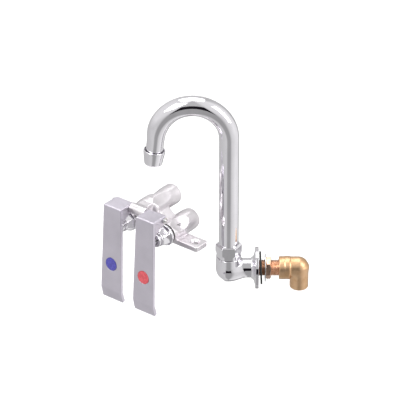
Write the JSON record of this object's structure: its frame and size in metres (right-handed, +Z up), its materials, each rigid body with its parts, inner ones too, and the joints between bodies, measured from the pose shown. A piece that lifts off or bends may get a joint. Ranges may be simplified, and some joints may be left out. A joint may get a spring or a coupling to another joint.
{
  "type": "knee-operated wall faucet",
  "caption": "Wall-mounted swivelling gooseneck spout on a threaded shank with a brass outlet elbow, and its separate double knee valve with hinged pedals.",
  "frame": {"origin": "centre of the wall flange's back face, on the shank's axis, where the wall's front face is", "axes": "+X along the shank into the wall, +Z up along the spout's riser"},
  "size_m": [0.2671, 0.1331, 0.284],
  "materials": {
    "polished_chrome": "mirror-polished chrome plate",
    "satin_chrome": "satin chrome plate on a sand casting",
    "satin_pedal": "satin plated plate",
    "cast_brass": "bare cast brass, dull",
    "turned_brass": "bare turned brass",
    "black_rubber": "matt moulded rubber",
    "stainless_steel": "plain stainless",
    "insert_plastic": "moulded, matt",
    "blue_enamel": "smooth colour insert",
    "red_enamel": "smooth colour insert"
  },
  "bodies": {
    "base": {"elbow_body": "polished_chrome", "swivel_nut": "polished_chrome", "wall_flange": "polished_chrome", "threaded_shank": "turned_brass", "brass_elbow": "cast_brass", "valve_body": "satin_chrome", "hinge_pin": "stainless_steel", "pin_clips": "stainless_steel", "cold_bonnet": "polished_chrome", "cold_bonnet_seal": "black_rubber", "cold_seat": "turned_brass", "cold_spring": "stainless_steel", "cold_spring_retainer": "turned_brass", "hot_bonnet": "polished_chrome", "hot_bonnet_seal": "black_rubber", "hot_seat": "turned_brass", "hot_spring": "stainless_steel", "hot_spring_retainer": "turned_brass"},
    "spout": {"gooseneck_tube": "polished_chrome", "swivel_spigot": "turned_brass", "lower_swivel_seal": "black_rubber", "upper_swivel_seal": "black_rubber", "aerator_shell": "polished_chrome", "aerator_washer": "black_rubber", "aerator_insert": "insert_plastic"},
    "rubber_washer": {"rubber_washer": "black_rubber"},
    "steel_washer": {"steel_washer": "stainless_steel"},
    "lock_nut": {"lock_nut": "turned_brass"},
    "cold_pedal": {"cold_pedal": "satin_pedal", "cold_dot": "blue_enamel"},
    "cold_stem": {"cold_stem": "polished_chrome", "cold_stem_seal": "black_rubber", "cold_disc": "black_rubber", "cold_disc_nut": "turned_brass"},
    "hot_pedal": {"hot_pedal": "satin_pedal", "hot_dot": "red_enamel"},
    "hot_stem": {"hot_stem": "polished_chrome", "hot_stem_seal": "black_rubber", "hot_disc": "black_rubber", "hot_disc_nut": "turned_brass"}
  },
  "joints": [
    {"name": "spout_swivel", "type": "hinge", "parent": "base", "child": "spout", "pos_m": [-0.038, 0, 0.0273], "axis": [0, 0, 1], "continuous": true},
    {"name": "rubber_washer_slide", "type": "slide", "parent": "base", "child": "rubber_washer", "axis": [1, 0, 0], "range_m": [-0.0004, 0.0008]},
    {"name": "lock_nut_travel", "type": "slide", "parent": "base", "child": "steel_washer", "axis": [1, 0, 0], "range_m": [-0.0018, 0.0072]},
    {"name": "lock_nut_turn", "type": "hinge", "parent": "steel_washer", "child": "lock_nut", "pos_m": [0.0125, 0, 0], "axis": [1, 0, 0], "range_deg": [-360, 1440]},
    {"name": "cold_pedal_hinge", "type": "hinge", "parent": "base", "child": "cold_pedal", "pos_m": [-0.17005, 0.003, 0.091], "axis": [0.788, -0.6157, 0], "range_deg": [0, 6.5], "stiffness_Nm_per_rad": 8, "springref_deg": -5.73},
    {"name": "cold_stem_slide", "type": "slide", "parent": "base", "child": "cold_stem", "axis": [0.6157, 0.788, 0], "range_m": [0, 0.0035], "deforming": ["cold_spring"]},
    {"name": "hot_pedal_hinge", "type": "hinge", "parent": "base", "child": "hot_pedal", "pos_m": [-0.12907, -0.02901, 0.091], "axis": [0.788, -0.6157, 0], "range_deg": [0, 6.5], "stiffness_Nm_per_rad": 8, "springref_deg": -5.73},
    {"name": "hot_stem_slide", "type": "slide", "parent": "base", "child": "hot_stem", "axis": [0.6157, 0.788, 0], "range_m": [0, 0.0035], "deforming": ["hot_spring"]}
  ],
  "couplings": [
    {"joint": "lock_nut_turn", "follows": "lock_nut_travel", "rad_per_m": 3463.2},
    {"joint": "cold_stem_slide", "follows": "cold_pedal_hinge", "m_per_rad": 0.03},
    {"joint": "hot_stem_slide", "follows": "hot_pedal_hinge", "m_per_rad": 0.03}
  ]
}
